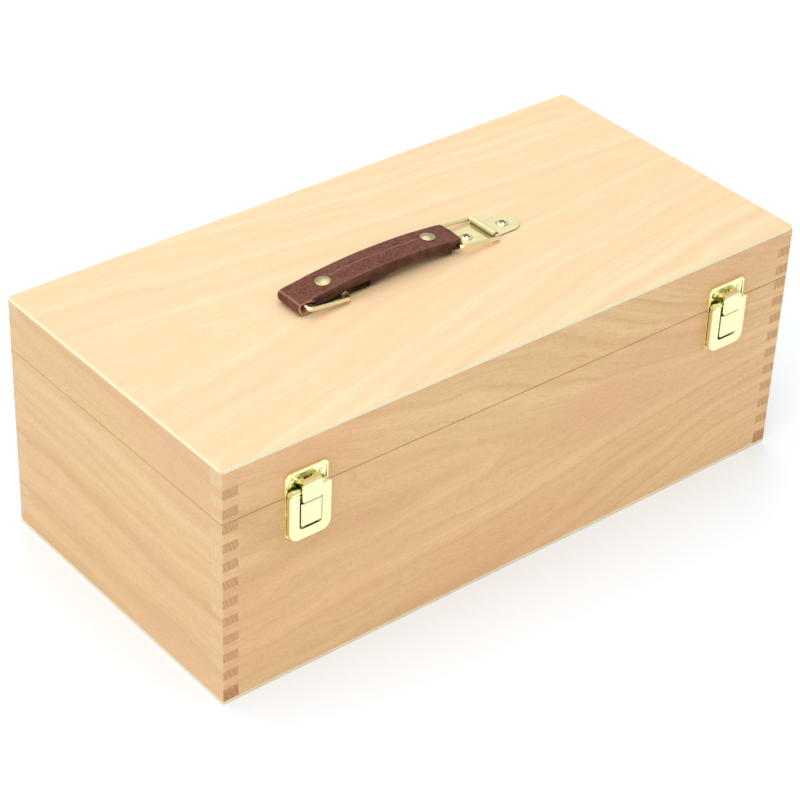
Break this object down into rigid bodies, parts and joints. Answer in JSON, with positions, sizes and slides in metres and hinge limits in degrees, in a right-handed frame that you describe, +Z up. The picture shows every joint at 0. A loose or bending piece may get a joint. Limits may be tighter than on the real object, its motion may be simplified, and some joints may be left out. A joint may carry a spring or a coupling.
{
  "type": "wooden artist case",
  "caption": "Finger-jointed wooden case with a hinged lid, two brass toggle latches on the front and a leather carrying handle on wire loops.",
  "frame": {"origin": "centre of the underside of the case", "axes": "+X to the right along the case's length, -Y the front with the latches, +Z up"},
  "size_m": [0.405, 0.2093, 0.1658],
  "materials": {
    "beech_board": "thin clear satin lacquer on beech",
    "top_veneer": "clear satin lacquer on pale veneer",
    "ply_panel": "pale plywood panel",
    "inner_slat": "planed beech, unfinished",
    "brass": "polished, pale brass plate",
    "leather": "grained, satin",
    "handle_filling": "plain pressed fibre filling"
  },
  "bodies": {
    "base": {"base_front": "beech_board", "base_back": "beech_board", "base_left": "beech_board", "base_right": "beech_board", "base_bottom": "ply_panel", "divider_long": "inner_slat", "divider_cross": "inner_slat", "latch_plate_left": "brass", "latch_plate_right": "brass", "latch_plate_nails": "brass", "lever_rivets": "brass", "hinge_leaf_base_left": "brass", "hinge_leaf_base_right": "brass", "hinge_pin_left": "brass", "hinge_pin_right": "brass", "hinge_screws_base": "brass"},
    "lid": {"lid_front": "beech_board", "lid_back": "beech_board", "lid_left": "beech_board", "lid_right": "beech_board", "lid_top": "top_veneer", "handle_blocks": "inner_slat", "keeper_left": "brass", "keeper_right": "brass", "keeper_nails": "brass", "hinge_leaf_lid_left": "brass", "hinge_leaf_lid_right": "brass", "hinge_screws_lid": "brass", "handle_plate_left": "brass", "handle_plate_right": "brass", "handle_screws": "brass"},
    "lever_left": {"lever_left": "brass", "tongue_pin_left": "brass"},
    "lever_right": {"lever_right": "brass", "tongue_pin_right": "brass"},
    "tongue_left": {"tongue_left": "brass"},
    "tongue_right": {"tongue_right": "brass"},
    "loop_left": {"wire_loop_left": "brass"},
    "loop_right": {"wire_loop_right": "brass"},
    "handle": {"handle_strap": "leather", "handle_core": "handle_filling", "handle_rivets": "brass"}
  },
  "joints": [
    {"name": "lid_hinge", "type": "hinge", "parent": "base", "child": "lid", "pos_m": [0, 0.10155, 0.11895], "axis": [-1, 0, 0], "range_deg": [0, 105]},
    {"name": "lever_left_pivot", "type": "hinge", "parent": "base", "child": "lever_left", "pos_m": [-0.1504, -0.10305, 0.1226], "axis": [-1, 0, 0], "range_deg": [0, 125]},
    {"name": "tongue_left_pivot", "type": "hinge", "parent": "lever_left", "child": "tongue_left", "pos_m": [-0.1504, -0.10215, 0.1186], "axis": [-1, 0, 0], "range_deg": [-102.5, 0]},
    {"name": "lever_right_pivot", "type": "hinge", "parent": "base", "child": "lever_right", "pos_m": [0.1504, -0.10305, 0.1226], "axis": [-1, 0, 0], "range_deg": [0, 125]},
    {"name": "tongue_right_pivot", "type": "hinge", "parent": "lever_right", "child": "tongue_right", "pos_m": [0.1504, -0.10215, 0.1186], "axis": [-1, 0, 0], "range_deg": [-102.5, 0]},
    {"name": "loop_left_swing", "type": "hinge", "parent": "lid", "child": "loop_left", "pos_m": [-0.0561, 0, 0.1554], "axis": [0, 1, 0], "range_deg": [0, 166.6]},
    {"name": "loop_right_swing", "type": "hinge", "parent": "lid", "child": "loop_right", "pos_m": [0.0521, 0, 0.1554], "axis": [0, 1, 0], "range_deg": [0, 166.6]},
    {"name": "handle_on_loop", "type": "hinge", "parent": "loop_left", "child": "handle", "pos_m": [-0.0834, 0, 0.1582], "axis": [0, 1, 0], "range_deg": [-166.6, 0]}
  ],
  "couplings": [
    {"joint": "tongue_left_pivot", "follows": "lever_left_pivot", "ratio": -0.82},
    {"joint": "tongue_right_pivot", "follows": "lever_right_pivot", "ratio": -0.82},
    {"joint": "loop_right_swing", "follows": "loop_left_swing", "ratio": 1},
    {"joint": "handle_on_loop", "follows": "loop_left_swing", "ratio": -1}
  ]
}
